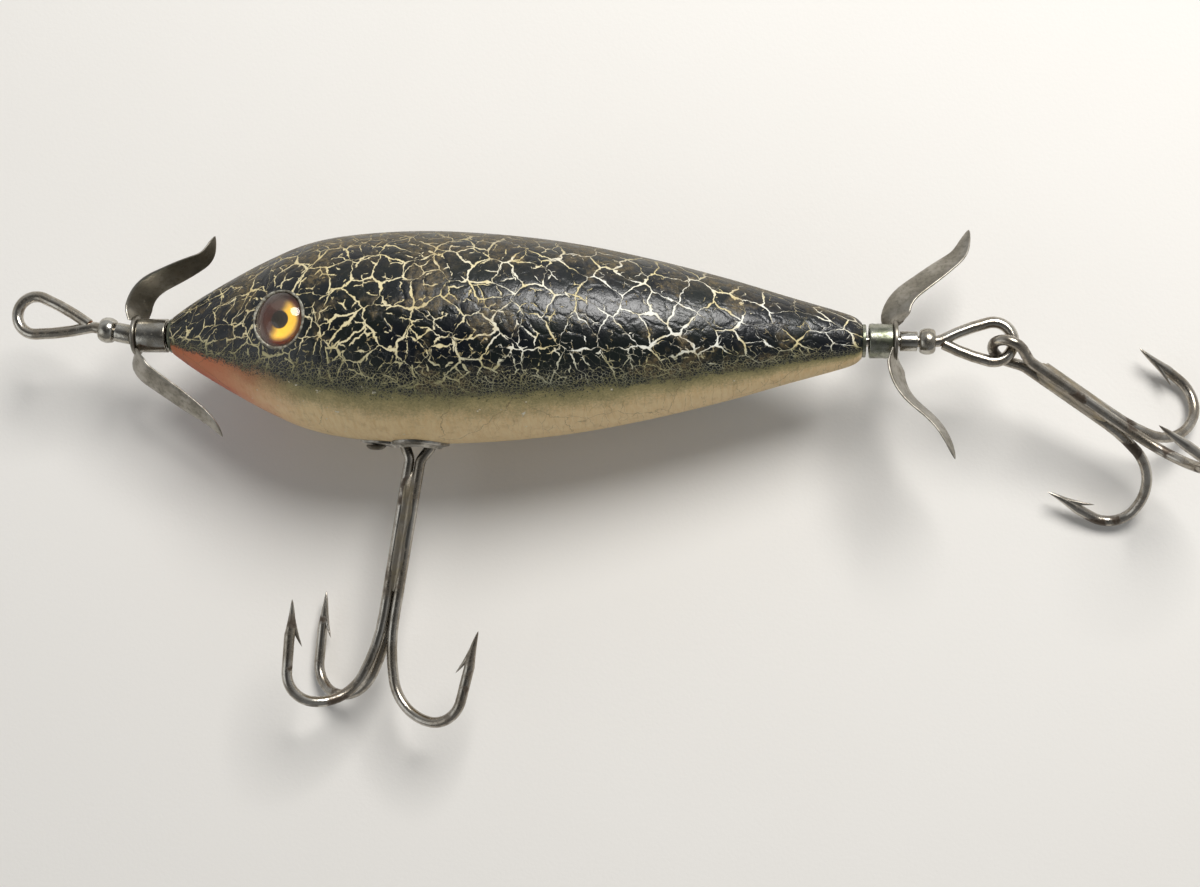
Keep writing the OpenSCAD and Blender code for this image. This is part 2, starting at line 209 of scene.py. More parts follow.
def along(station, step, share):
    """The station after a share of a step: a run (length, 0, roll), or a bend (radius, angle)."""
    point, heading, left, radius = station
    size, angle, *roll = step
    if angle == 0:
        a = math.radians(sum(roll)) * share
        new_left = left * math.cos(a) + heading.cross(left) * math.sin(a)
        return point + heading * size * share, heading, new_left, radius
    a = math.radians(angle) * share
    new_left = left * math.cos(a) - heading * math.sin(a)
    new_heading = heading * math.cos(a) + left * math.sin(a)
    return point + math.copysign(size, a) * (left - new_left), new_heading, new_left, radius


def wire_path(station, steps, bend_step=6, run_step=1.5):
    """Stations along the steps, a few degrees apart in a bend and a few mm apart on a run."""
    out = [station]
    for step in steps:
        size, angle = step[:2]
        n = max(1, math.ceil(abs(angle) / bend_step) if angle else math.ceil(abs(size) / run_step))
        out += [along(station, step, k / n) for k in range(1, n + 1)]
        station = out[-1]
    return out


def wire_ring(station, sides):
    point, heading, left, radius = station
    up = heading.cross(left)
    return [point + radius * (math.cos(a) * left + math.sin(a) * up) for a in around(sides)]


def leg_radius(leg):
    """Radius of the curve that takes a leg into the far arc of its eye."""
    out, back = leg
    return (LOOP_R * cos(out - back) - EASE_R * (1 - cos(out))) / (cos(out - back) - cos(out))


def loop_run(leg):
    """Length along the shank from the start of an eye's bends to the centre of its far arc."""
    out, back = leg
    return (EASE_R + leg_radius(leg)) * sin(out) + (LOOP_R - leg_radius(leg)) * sin(out - back)


def eye_steps(leg):
    """Bends of an eye, from the shank round the far arc to the cut end beside the shank."""
    out, back = leg
    return [(EASE_R, out), (leg_radius(leg), -back), (LOOP_R, -180 - 2 * (out - back)),
            (leg_radius(leg), -back * BUTT_SHARE)]


# ---------- materials ----------
class Shader:
    """One procedural material. A value is a number, a colour or a node's output."""

    def __init__(self, name, place=None):
        """Its point p is in mm, in the object's frame or in that of a place."""
        self.mat = bpy.data.materials.new(name)
        self.mat.use_nodes = True
        self.tree = self.mat.node_tree
        self.tree.nodes.clear()
        out = self.tree.nodes.new("ShaderNodeOutputMaterial")
        self.bsdf = self.tree.nodes.new("ShaderNodeBsdfPrincipled")
        self.tree.links.new(self.bsdf.outputs[0], out.inputs["Surface"])
        coords = self.tree.nodes.new("ShaderNodeTexCoord")
        self.p = self.vec("SCALE", coords.outputs["Object"], scale=1000.0)
        if place:
            back = place.inverted()
            n = self.tree.nodes.new("ShaderNodeMapping")
            n.inputs["Location"].default_value = back.translation / MM
            n.inputs["Rotation"].default_value = back.to_euler()
            self.put(n.inputs["Vector"], self.p)
            self.p = n.outputs[0]

    def put(self, socket, value):
        if isinstance(value, bpy.types.NodeSocket):
            self.tree.links.new(value, socket)
        elif value is not None:
            socket.default_value = value

    def math(self, op, a, b=None):
        n = self.tree.nodes.new("ShaderNodeMath")
        n.operation = op
        self.put(n.inputs[0], a)
        self.put(n.inputs[1], b)
        return n.outputs[0]

    def vec(self, op, a, b=None, scale=None):
        n = self.tree.nodes.new("ShaderNodeVectorMath")
        n.operation = op
        self.put(n.inputs[0], a)
        self.put(n.inputs[1], b)
        self.put(n.inputs[3], scale)
        return n.outputs[0]

    def split(self, v):
        n = self.tree.nodes.new("ShaderNodeSeparateXYZ")
        self.put(n.inputs[0], v)
        return n.outputs[0], n.outputs[1], n.outputs[2]

    def joined(self, x, y, z):
        n = self.tree.nodes.new("ShaderNodeCombineXYZ")
        for socket, value in zip(n.inputs, (x, y, z)):
            self.put(socket, value)
        return n.outputs[0]

    def noise(self, p, scale, detail=2.0, rough=0.5, colour=False):
        n = self.tree.nodes.new("ShaderNodeTexNoise")
        self.put(n.inputs["Vector"], p)
        n.inputs["Scale"].default_value = scale
        n.inputs["Detail"].default_value = detail
        n.inputs["Roughness"].default_value = rough
        return n.outputs["Color"] if colour else n.outputs[0]

    def edges(self, p, scale, flat=True):
        """Distance to the nearest cell wall, in the units of p."""
        n = self.tree.nodes.new("ShaderNodeTexVoronoi")
        n.feature = "DISTANCE_TO_EDGE"
        n.voronoi_dimensions = "2D" if flat else "3D"
        self.put(n.inputs["Vector"], p)
        n.inputs["Scale"].default_value = scale
        return self.math("DIVIDE", n.outputs["Distance"], scale)

    def step(self, v, low, high, to_low=0.0, to_high=1.0):
        n = self.tree.nodes.new("ShaderNodeMapRange")
        n.interpolation_type = "SMOOTHSTEP"
        self.put(n.inputs["Value"], v)
        for key, x in (("From Min", low), ("From Max", high), ("To Min", to_low), ("To Max", to_high)):
            n.inputs[key].default_value = x
        return n.outputs[0]

    def mix(self, share, a, b):
        n = self.tree.nodes.new("ShaderNodeMix")
        n.data_type = "RGBA"
        for key, x in (("Factor_Float", share), ("A_Color", a), ("B_Color", b)):
            socket = next(s for s in n.inputs if s.identifier == key)
            self.put(socket, (*x, 1) if isinstance(x, tuple) else x)
        return next(s for s in n.outputs if s.identifier == "Result_Color")

    def mul(self, *values):
        out = values[0]
        for v in values[1:]:
            out = self.math("MULTIPLY", out, v)
        return out

    def add(self, *values):
        out = values[0]
        for v in values[1:]:
            out = self.math("ADD", out, v)
        return out

    def sub(self, a, b):
        return self.math("SUBTRACT", a, b)

    def larger(self, a, b):
        return self.math("MAXIMUM", a, b)

    def sway(self, v, size):
        """A noise value turned into a swing about zero."""
        return self.mul(self.sub(v, 0.5), size)

    def moved(self, p, offset):
        return self.vec("ADD", p, offset)

    def stretched(self, p, factors):
        return self.vec("MULTIPLY", p, factors)

    def warped(self, p, *layers):
        """p moved by layers of (scale, size) noise."""
        for scale, size in layers:
            n = self.vec("SUBTRACT", self.noise(self.p, scale, 1.0, colour=True), (0.5, 0.5, 0.5))
            p = self.vec("ADD", p, self.vec("SCALE", n, scale=size * 2))
        return p

    def bump(self, height_mm):
        n = self.tree.nodes.new("ShaderNodeBump")
        n.inputs["Strength"].default_value = 1.0
        n.inputs["Distance"].default_value = MM
        self.put(n.inputs["Height"], height_mm)
        self.put(self.bsdf.inputs["Normal"], n.outputs[0])

    def finish(self, **values):
        for key, v in values.items():
            self.put(self.bsdf.inputs[key.replace("_", " ")], (*v, 1) if isinstance(v, tuple) else v)
        return self.mat


def belly_coat(s, x, angle, fade, wobble):
    """Base coat: tan belly with grain and hair cracks, red chin, olive mist up to the black."""
    grain = s.noise(s.stretched(s.p, (2.4, 0.5, 0.5)), 1.0, 4.0, 0.6)
    tan = s.mix(s.step(grain, 0.25, 0.75), (0.80, 0.565, 0.27), (0.88, 0.68, 0.37))
    blotch = s.noise(s.p, 0.5, 4.0, 0.65)
    tan = s.mix(s.step(blotch, 0.5, 0.8, 0.0, 0.45), tan, (0.42, 0.27, 0.105))
    tan = s.mix(s.step(angle, 55, 88, 0.0, 0.35), tan, (0.46, 0.31, 0.14))
    hair = s.edges(s.warped(s.stretched(s.p, (1.0, 0.22, 0.22)), (0.8, 0.25)), 0.8, flat=False)
    hair = s.mul(s.step(hair, 0.0, 0.035, 1.0, 0.0), s.step(x, 38, 58, 0.15, 0.5),
                 s.step(blotch, 0.38, 0.55))
    tan = s.mix(hair, tan, (0.22, 0.13, 0.05))
    mist = s.noise(s.p, 3.2, 4.0, 0.75)
    olive = s.mix(mist, (0.035, 0.045, 0.018), (0.13, 0.13, 0.05))
    pale_olive = s.mix(mist, (0.20, 0.185, 0.075), (0.36, 0.30, 0.13))
    coat = s.mix(s.step(fade, 26, 38), olive, pale_olive)
    coat = s.mix(s.step(s.add(fade, s.sway(mist, 18.0)), 35, 54), coat, tan)
    chin = s.mul(s.step(s.add(x, s.mul(wobble, 6.0)), 8.0, 24.0, 1.0, 0.0), s.step(fade, 16, 36))
    red = s.mix(s.step(angle, 45, 85), (0.62, 0.165, 0.06), (0.50, 0.035, 0.012))
    return s.mix(s.mul(chin, 0.92), coat, red), hair


def enamel_coat(s, angle):
    """Black enamel, browned where it is worn and dusty along the back."""
    deep = s.mix(s.step(s.noise(s.p, 0.16, 2.0), 0.35, 0.65), (0.0025, 0.004, 0.0065), (0.005, 0.008, 0.0065))
    mottle = s.noise(s.warped(s.p, (1.0, 0.35)), 1.3, 5.0, 0.75)
    brown = s.mix(s.step(mottle, 0.35, 0.7), (0.010, 0.009, 0.005), (0.13, 0.095, 0.042))
    patches = s.step(s.noise(s.moved(s.p, (7.0, 3.0, 11.0)), 0.19, 3.0, 0.6), 0.53, 0.62)
    upper = s.mul(s.step(angle, -30, -58), s.step(s.noise(s.p, 0.3, 3.0), 0.42, 0.6))
    worn = s.mul(s.larger(patches, upper), s.step(mottle, 0.3, 0.62, 0.2, 0.95))
    smears = s.noise(s.stretched(s.p, (0.5, 1.5, 1.5)), 0.9, 4.0, 0.7)
    dust = s.mul(s.step(angle, -60, -84), s.step(smears, 0.32, 0.6))
    enamel = s.mix(s.mul(dust, 0.75), s.mix(worn, deep, brown), (0.15, 0.13, 0.095))
    return enamel, mottle, worn, dust


def crack_nets(s, x, y, z, fade):
    """Four nets of cracks over the unrolled skin, and the distances to the walls of the two widest."""
    from_back = s.math("ARCTAN2", z, y)
    girth = s.math("SQRT", s.add(s.mul(y, y), s.mul(z, z)))
    unrolled = s.joined(x, s.mul(from_back, s.add(4.5, s.mul(girth, 0.68))), 0.0)
    crooked = s.warped(unrolled, (0.33, 0.9), (1.2, 0.34), (3.4, 0.12))
    ragged = s.sway(s.noise(s.p, 2.6, 2.0), 0.09)
    rear = s.step(x, 42, 66)

    # wide cracks between large cells
    gate = s.noise(s.moved(s.p, (3.0, 9.0, 5.0)), 0.3, 2.0)
    width = s.add(s.step(gate, 0.36, 0.64, 0.02, 0.15), ragged)
    width = s.mul(width, s.step(x, 2, 24, 0.6, 1.0), s.step(fade, 10, 32, 1.0, 0.4))
    wide_walls = s.edges(crooked, 0.265)
    wide = s.step(s.sub(width, wide_walls), -0.04, 0.04)

    # broken ones inside the cells, fewer of them towards the tail
    gate = s.add(s.noise(s.moved(s.p, (1.0, 2.0, 30.0)), 0.65, 2.0), s.step(rear, 0.0, 1.0, 0.06, 0.0))
    width = s.add(s.step(gate, 0.42, 0.62, -0.1, 0.085), s.mul(ragged, 0.6), s.mul(rear, -0.045),
                  s.step(fade, -12, 12, 0.0, 0.035), s.step(fade, 16, 32, 0.0, -0.06))
    middle_walls = s.edges(s.moved(crooked, (31.0, 17.0, 0.0)), 0.43)
    middle = s.step(s.sub(width, middle_walls), -0.035, 0.035)

    # a fine net and a tiny one towards the belly
    gate = s.noise(s.moved(s.p, (12.0, 2.0, 3.0)), 0.9, 2.0)
    width = s.add(s.step(gate, 0.46, 0.66, -0.11, 0.035), s.step(fade, -5, 11, 0.0, 0.11))
    walls = s.edges(s.warped(unrolled, (1.2, 0.4), (4.0, 0.12)), 0.8)
    fine = s.step(s.sub(s.math("MINIMUM", width, 0.055), walls), -0.025, 0.03)
    walls = s.edges(s.warped(unrolled, (2.4, 0.2), (7.0, 0.05)), 2.1)
    tiny = s.step(s.sub(s.step(fade, 6, 27, -0.05, 0.04), walls), -0.02, 0.02)
    return wide, middle, s.larger(fine, tiny), wide_walls, middle_walls


def crack_colour(s, x, angle, fade, worn, wide, middle):
    """Undercoat in the cracks: cream to white, dirty where narrow, dull near the back and the belly."""
    dried = s.mul(s.step(s.noise(s.p, 0.3, 2.0), 0.38, 0.58), s.step(x, 28, 58, 0.15, 1.0))
    white = s.mix(dried, (0.70, 0.60, 0.33), (0.88, 0.87, 0.78))
    dirty = s.mix(s.step(s.noise(s.p, 0.9, 3.0), 0.35, 0.7), (0.34, 0.25, 0.10), white)
    colour = s.mix(s.step(s.larger(wide, s.mul(middle, 0.8)), 0.2, 0.9), dirty, white)
    colour = s.mix(s.mul(worn, 0.6), colour, (0.42, 0.30, 0.12))
    colour = s.mix(s.step(angle, -45, -72, 0.0, 0.7), colour, (0.21, 0.17, 0.10))
    colour = s.mix(s.step(fade, 4, 18, 0.0, 0.7), colour, (0.27, 0.26, 0.13))
    return s.mix(s.step(fade, 16, 34, 0.0, 0.75), colour, (0.12, 0.12, 0.05))


def body_paint():
    """Cracked black enamel over cream, fading into a tan belly with a red chin."""
    s = Shader("cracked_enamel", on_body())
    x, y, z = s.split(s.p)
    # -90 along the back, 90 along the belly; fade is the same, wavering, and sets where the black ends
    angle = s.mul(s.math("ARCTAN2", s.mul(y, -1.0), s.math("ABSOLUTE", z)), math.degrees(1))
    wobble = s.noise(s.p, 0.35, 3.0)
    fade = s.add(angle, s.sway(wobble, 13.0), s.step(x, 4, 40, 5.0, -1.0))

    coat, hair = belly_coat(s, x, angle, fade, wobble)
    speck = s.noise(s.warped(s.p, (2.0, 0.2)), 4.2, 3.0, 0.8)
    cover = s.step(s.sub(speck, s.step(fade, 17, 46, 0.24, 0.74)), -0.04, 0.05)
    enamel, mottle, worn, dust = enamel_coat(s, angle)
    wide, middle, small, wide_walls, middle_walls = crack_nets(s, x, y, z, fade)
    crack = s.larger(s.larger(wide, middle), s.mul(small, 0.8))
    bare = s.mul(crack, s.step(dust, 0.2, 1.0, 1.0, 0.4))
    painted = s.mix(bare, enamel, crack_colour(s, x, angle, fade, worn, wide, middle))

    # chips and long cracks in the belly coat
    spots = s.noise(s.moved(s.p, (4.0, 1.0, 2.0)), 0.75, 4.0, 0.65)
    chip = s.mul(s.step(spots, 0.685, 0.71), s.step(fade, 22, 34))
    walls = s.edges(s.warped(s.p, (0.3, 1.5), (2.0, 0.3)), 0.07, flat=False)
    belly_line = s.step(s.sub(0.035, walls), -0.02, 0.02)
    coat = s.mix(s.mul(chip, 0.85), coat, (0.82, 0.77, 0.62))
    coat = s.mix(s.mul(belly_line, 0.5), coat, (0.12, 0.065, 0.03))

    # each cell of enamel is a low pillow
    pillow = s.mul(s.step(s.math("MINIMUM", wide_walls, s.mul(middle_walls, 1.6)), 0.0, 0.8), 0.035)
    s.bump(s.add(
        s.mul(cover, s.add(pillow, s.mul(s.sub(1.0, crack), 0.06))),
        s.mul(s.noise(s.p, 0.6, 2.0), 0.03),
        s.mul(s.noise(s.p, 3.8, 2.0, 0.6), s.step(cover, 0.0, 1.0, 0.008, 0.026)),
        s.mul(worn, mottle, 0.05), s.mul(chip, -0.05), s.mul(belly_line, -0.03), s.mul(hair, -0.01)))
    shine = s.add(0.2, s.mul(s.noise(s.p, 1.2, 4.0, 0.65), 0.18), s.mul(worn, 0.2), s.mul(dust, 0.25))
    rough = s.mix(cover, (0.5, 0.5, 0.5), s.mix(bare, s.joined(shine, shine, shine), (0.7, 0.7, 0.7)))
    return s.finish(Base_Color=s.mix(cover, coat, painted), Roughness=s.split(rough)[0])


def metal(name, bright, dull, stain, rough, stained=0.5, patch=0.5, rust=None):
    """Worn plated metal: bright and dull areas, dark stains and fine scratches. Rust is (low, high, tone)."""
    s = Shader(name)
    big = s.noise(s.p, patch, 3.0, 0.55)
    fine = s.noise(s.p, 4.0, 3.0, 0.6)
    spots = s.noise(s.moved(s.p, (5.0, 8.0, 2.0)), 1.7, 5.0, 0.7)
    dark = s.mul(s.step(s.add(spots, s.mul(big, 0.3)), 0.60, 0.84), stained)
    colour = s.mix(dark, s.mix(s.step(big, 0.36, 0.62), bright, dull), stain)
    metallic = s.step(dark, 0.0, 1.0, 1.0, 0.5)
    shine = s.add(rough, s.sway(big, 0.14), s.mul(dark, 0.2), s.sway(fine, 0.06))
    height = s.add(s.mul(fine, 0.004), s.mul(dark, -0.006), s.mul(big, 0.03))
    if rust:
        low, high, tone = rust
        brown = s.mul(s.step(s.noise(s.warped(s.p, (1.5, 0.4)), 0.17, 2.0, 0.6), low, high),
                      s.step(spots, 0.3, 0.5, 0.7, 1.0))
        colour = s.mix(brown, colour, s.mix(fine, tone, tuple(c * 0.35 for c in tone)))
        metallic = s.mul(metallic, s.step(brown, 0.0, 1.0, 1.0, 0.55))
        shine = s.add(shine, s.mul(brown, 0.14))
        height = s.add(height, s.mul(brown, fine, 0.01))
    s.bump(height)
    return s.finish(Base_Color=colour, Metallic=metallic, Roughness=shine)


def eye_paint(place):
    """Painted back of the glass: pupil, amber ring and dark edge, with painted light and shade: brighter on
    one side, darker on the other.
    """
    s = Shader("eye_backing", place)
    x, y, _ = s.split(s.p)
    r = s.math("SQRT", s.add(s.mul(x, x), s.mul(y, y)))
    wave = s.sway(s.noise(s.p, 1.4, 3.0), 0.5)
    # painted light and shade: the amber ring and the rim are brighter on the side where the lens focuses
    # light, darker on the other side
    painted_light_side = s.step(s.add(s.mul(x, 0.9), s.mul(y, -0.45), wave), -0.7, 0.7)
    streak = s.noise(s.stretched(s.p, (1.2, 1.2, 0.0)), 2.0, 4.0, 0.7)
    amber = s.mix(painted_light_side, (0.035, 0.007, 0.003), s.mix(streak, (0.85, 0.46, 0.02), (1.0, 0.70, 0.07)))
    rim = s.mix(painted_light_side, (0.018, 0.004, 0.003), (0.10, 0.02, 0.009))
    colour = s.mix(s.step(s.add(r, s.mul(wave, 0.7)), 1.75, 2.5), amber, rim)
    colour = s.mix(s.step(r, 2.5, 3.1), colour, (0.015, 0.004, 0.003))
    pupil = s.step(s.add(r, s.mul(wave, 0.25)), 0.9, 1.05, 1.0, 0.0)
    return s.finish(Base_Color=s.mix(pupil, colour, (0.002, 0.002, 0.002)), Roughness=0.35)


def eye_glass():
    """Clear glass, faintly amber, a little scuffed."""
    s = Shader("eye_glass")
    s.bsdf.inputs["Transmission Weight"].default_value = 1.0
    s.bsdf.inputs["IOR"].default_value = 1.5
    return s.finish(Base_Color=s.mix(s.noise(s.p, 0.8, 2.0), (1.0, 0.93, 0.82), (0.97, 0.88, 0.74)),
                    Roughness=s.step(s.noise(s.p, 3.0, 3.0), 0.5, 0.8, 0.015, 0.06))


def eye_seat_paint():
    """Pale paint gathered round the glass, dirty in patches."""
    s = Shader("eye_seat_paint")
    n = s.noise(s.p, 1.3, 4.0, 0.65)
    s.bump(s.mul(n, 0.08))
    return s.finish(Base_Color=s.mix(s.step(n, 0.36, 0.6), (0.42, 0.41, 0.34), (0.10, 0.09, 0.065)),
                    Roughness=s.step(n, 0.3, 0.7, 0.35, 0.6))


def cast_lead():
    s = Shader("cast_lead")
    n = s.noise(s.p, 1.5, 4.0, 0.6)
    s.bump(s.mul(n, 0.08))
    return s.finish(Base_Color=s.mix(n, (0.10, 0.105, 0.115), (0.22, 0.225, 0.24)), Metallic=0.8,
                    Roughness=s.step(n, 0.3, 0.7, 0.5, 0.75))


def brazed_seam():
    """Lumpy solder, yellowish in patches, with dark flux in its pits."""
    s = Shader("brazed_seam")
    big = s.noise(s.p, 0.45, 4.0, 0.65)
    fine = s.noise(s.p, 3.0, 4.0, 0.7)
    dark = s.step(fine, 0.54, 0.78, 0.0, 0.55)
    colour = s.mix(s.step(big, 0.38, 0.62), (0.31, 0.28, 0.235), (0.33, 0.28, 0.20))
    s.bump(s.add(s.mul(fine, 0.05), s.mul(big, 0.12)))
    return s.finish(Base_Color=s.mix(dark, colour, (0.045, 0.035, 0.022)),
                    Metallic=s.step(dark, 0.0, 0.8, 0.95, 0.5), Roughness=s.add(0.34, s.mul(dark, 0.3)))


def pale_floor():
    s = Shader("pale_floor")
    s.bump(s.mul(s.noise(s.p, 2.0, 3.0), 0.02))
    colour = s.mix(s.noise(s.p, 0.02, 3.0), (0.80, 0.775, 0.735), (0.84, 0.82, 0.785))
    return s.finish(Base_Color=colour, Roughness=0.85)


PAINT = body_paint()
WIRE = metal("tarnished_wire", (0.56, 0.53, 0.47), (0.40, 0.36, 0.30), (0.12, 0.085, 0.05), 0.2, patch=0.3)
CUT = metal("cut_wire_end", (0.55, 0.26, 0.14), (0.42, 0.18, 0.10), (0.14, 0.06, 0.03), 0.4)
PLATE = metal("tarnished_nickel", (0.37, 0.345, 0.30), (0.25, 0.23, 0.19), (0.08, 0.068, 0.045), 0.34,
              patch=0.3)
GREEN = metal("greenish_nickel", (0.36, 0.36, 0.30), (0.19, 0.20, 0.145), (0.055, 0.06, 0.035), 0.28, 0.7)
SLEEVE = metal("rubbed_nickel", (0.54, 0.52, 0.47), (0.40, 0.37, 0.31), (0.10, 0.08, 0.05), 0.19)
HOOK = metal("tarnished_hook_wire", (0.48, 0.45, 0.40), (0.31, 0.275, 0.225), (0.07, 0.052, 0.034), 0.22,
             patch=0.22, rust=(0.59, 0.64, (0.12, 0.09, 0.065)))
HANGER = metal("dull_hanger_plate", (0.46, 0.44, 0.40), (0.27, 0.25, 0.21), (0.06, 0.05, 0.035), 0.3, 0.7)
SCREW = metal("worn_screw", (0.20, 0.18, 0.15), (0.11, 0.095, 0.07), (0.035, 0.028, 0.02), 0.33, 0.7, 0.8)
SOLDER = brazed_seam()


# ---------- body ----------
def curve_point(points, i, t):
    """The point at share t of the smooth curve from point i to the next one."""
    a, b, c, d = (points[min(max(j, 0), len(points) - 1)] for j in range(i - 1, i + 3))
    return tuple(0.5 * (2 * b[n] + (c[n] - a[n]) * t + (2 * a[n] - 5 * b[n] + 4 * c[n] - d[n]) * t * t
                        + (3 * b[n] - a[n] - 3 * c[n] + d[n]) * t ** 3) for n in (0, 1))


def radius_at(points, station):
    """The radius at a station of an outline of straight runs."""
    for (a, ra), (b, rb) in zip(points[:-1], points[1:]):
        if a <= station <= b:
            return ra + (rb - ra) * (station - a) / (b - a)
    return points[0][1] if station < points[0][0] else points[-1][1]


CURVE = [curve_point(OUTLINE, i, k / 16) for i in range(len(OUTLINE) - 1) for k in range(16)] + [OUTLINE[-1]]


def at_eye(side):
    """The place of an eye, its Z out of the body."""
    rise = turn(-EYE_RISE if side > 0 else 180 + EYE_RISE, "X")
    return on_body(EYE_STATION) @ rise @ at(0, 0, radius_at(OUTLINE, EYE_STATION)) @ turn(-EYE_TAPER, "Y")


def bore(depth, far, radius, place):
    """A plug in the shape of a bore, from its floor at a depth along X out to a far end."""
    verts, faces = skin(turned([(depth, TINY), (depth, radius), (far, radius), (far, TINY)], 64))
    mesh = bpy.data.meshes.new("bore")
    mesh.from_pydata([Vector(v) * MM for v in verts], [], faces)
    plug = bpy.data.objects.new("bore", mesh)
    bpy.context.scene.collection.objects.link(plug)
    plug.matrix_world = place
    return plug


def make_body():
    """Turned body with its two eye sockets and the pocket for the belly cup."""
    (nose_x, nose_r), (tail_x, tail_r) = CURVE[0], CURVE[-1]
    nose = [(nose_x, nose_r * k) for k in (TINY, 0.5, 0.9)]
    tail = [(tail_x, tail_r * k) for k in (0.9, 0.5, TINY)]
    shell = skin(turned(nose + CURVE + tail, 288))
    body = add_mesh("body_shell", shell, on_body(), PAINT, "lure", "body")
    plugs = [bore(-0.97, 9, EYE_R + 0.05, at_eye(side) @ turn(-90, "Y")) for side in (1, -1)]
    plugs.append(bore(CUP_FLOOR, 20, CUP_R + 0.1, on_body(HANGER_STATION) @ turn(-90, "Z")))
    bpy.context.view_layer.update()
    for plug in plugs:
        cut = body.modifiers.new("bore", "BOOLEAN")
        cut.operation = "DIFFERENCE"
        cut.solver = "EXACT"
        cut.object = plug
    done = bpy.data.meshes.new_from_object(body.evaluated_get(bpy.context.evaluated_depsgraph_get()))
    body.modifiers.clear()
    body.data = done
    done.name = "body_shell"
    for polygon in done.polygons:
        polygon.material_index = 0
    smooth(done, 40)
    for plug in plugs:
        bpy.data.objects.remove(plug)


# ---------- eyes ----------
def eye_lens():
    """Domed glass along X, flat behind."""
    cap = EYE_BULGE + 0.5
    ball = (EYE_R ** 2 + cap ** 2) / (2 * cap)
    dome = []
    for k in range(25):
        r = EYE_R * k / 24
        dome.append((EYE_BULGE - ball + math.sqrt(ball ** 2 - r ** 2), max(r, TINY)))
    back = [(-0.6, EYE_R), (-0.8, EYE_R - 0.02), (-0.92, EYE_R - 0.1), (-0.92, 1.5), (-0.92, TINY)]
    return skin(turned(dome + back, 96))


def eye_cup():
    """Painted back of the lens, with a thin dark wall round it."""
    profile = [(-0.945, TINY), (-0.945, EYE_R - 0.1), (-0.9, EYE_R + 0.01), (-0.47, EYE_R + 0.015),
               (-0.47, EYE_R + 0.045), (-1.3, EYE_R + 0.04), (-1.3, TINY)]
    return skin(turned(profile, 96))


def skin_height(place, x, y):
    """Height of the body's surface above a place, found by halving."""
    to_body = on_body().inverted() @ place
    low, high = -4.0, 2.0
    for _ in range(30):
        h = (low + high) / 2
        q = to_body @ (Vector((x, y, h)) * MM)
        outside = math.hypot(q.y, q.z) / MM > radius_at(CURVE, q.x / MM)
        low, high = (low, h) if outside else (h, high)
    return (low + high) / 2


def eye_seat(place):
    """Uneven bead of paint round the glass, following the body."""
    probe_r, mid_r = EYE_R + 0.18, EYE_R + 0.1
    rings = []
    for a in around(96):
        out = Vector((math.cos(a), math.sin(a), 0))
        middle = Vector((mid_r * out.x, mid_r * out.y, skin_height(place, probe_r * out.x, probe_r * out.y)))
        fat = 0.14 + 0.03 * math.sin(3 * a + 1) + 0.02 * math.sin(7 * a)
        rings.append([middle + fat * (1.25 * math.cos(b) * out + Vector((0, 0, math.sin(b))))
                      for b in around(12)])
    return looped_skin(rings)


def repaint(node, material):
    """Gives a CAD node a finished material."""
    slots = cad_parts[node].data.materials
    slots.clear()
    slots.append(material)


def make_eye(side, label):
    place = at_eye(side)
    outward = place @ turn(-90, "Y")
    glass = add_mesh(f"{label}_eye_lens", eye_lens(), outward, eye_glass(),
                     "lure", f"{label}_eye_glass")
    glass.visible_shadow = False
    add_mesh(f"{label}_eye_backing", eye_cup(), outward, eye_paint(place),
             "lure", f"{label}_eye_iris")
    add_mesh(f"{label}_eye_seat", eye_seat(place), place, eye_seat_paint(), "lure")
    repaint(f"{label}_eye_pin", WIRE)


make_body()
make_eye(1, "left")
make_eye(-1, "right")
repaint("ballast_weight", cast_lead())


# ---------- screw eyes and washers ----------
def screw_eye(name, node, stations):
    """A bent wire whose cut end is bare metal."""
    point, heading, left, radius = stations[-1]
    end = (point + heading * 0.08, heading, left, radius - 0.1)
    shape = skin([wire_ring(station, 24) for station in stations + [end]])
    add_mesh(name, shape, Matrix.Identity(4), WIRE, "lure", node, end_material=CUT)


tail_shank = start((TAIL_X - SHANK_DEPTH, AXIS_Y, 0), (1, 0, 0), (0, 1, 0), WIRE_D)
tail_steps = [(SHANK_DEPTH + TAIL_REACH - loop_run(TAIL_LEG), 0)] + eye_steps(TAIL_LEG)
screw_eye("tail_screw_eye", "tail_eye", wire_path(tail_shank, tail_steps, 5))

nose_shank = start((NOSE_X + SHANK_DEPTH, AXIS_Y, 0), (-1, 0, 0), (0, -1, 0), WIRE_D)
nose_steps = [(SHANK_DEPTH - TIE_BEND_AT - TIE_EASE, 0),
              (TIE_EASE / math.tan(math.radians(TIE_BEND / 2)), -TIE_BEND),
              (TIE_REACH - TIE_EASE - loop_run(TIE_LEG), 0)] + eye_steps(TIE_LEG)
screw_eye("nose_screw_eye", "line_tie", wire_path(nose_shank, nose_steps, 5))

for label, station, diameter in (("nose", 0.05, 4.6), ("tail", 91.5, 4.3)):
    add_mesh(f"{label}_ring", tube(0, 0.5, 0.81, diameter / 2, 0.1), on_axis(station), GREEN,
             "lure", f"{label}_washer")


# ---------- propellers, collars and beads ----------
def ease(v):
    c = min(max(v, 0), 1)
    return c * c * (3 - 2 * c)


def blade_heading(t, sweep):
    """Heading of a blade's middle line at share t: straight out, leaning over, then turning up at the tip."""
    lean_over, lean, rise_from, rise_over, tip = sweep
    return 90 - (90 - lean) * ease(t / lean_over) + (tip - lean) * ease((t - rise_from) / rise_over)


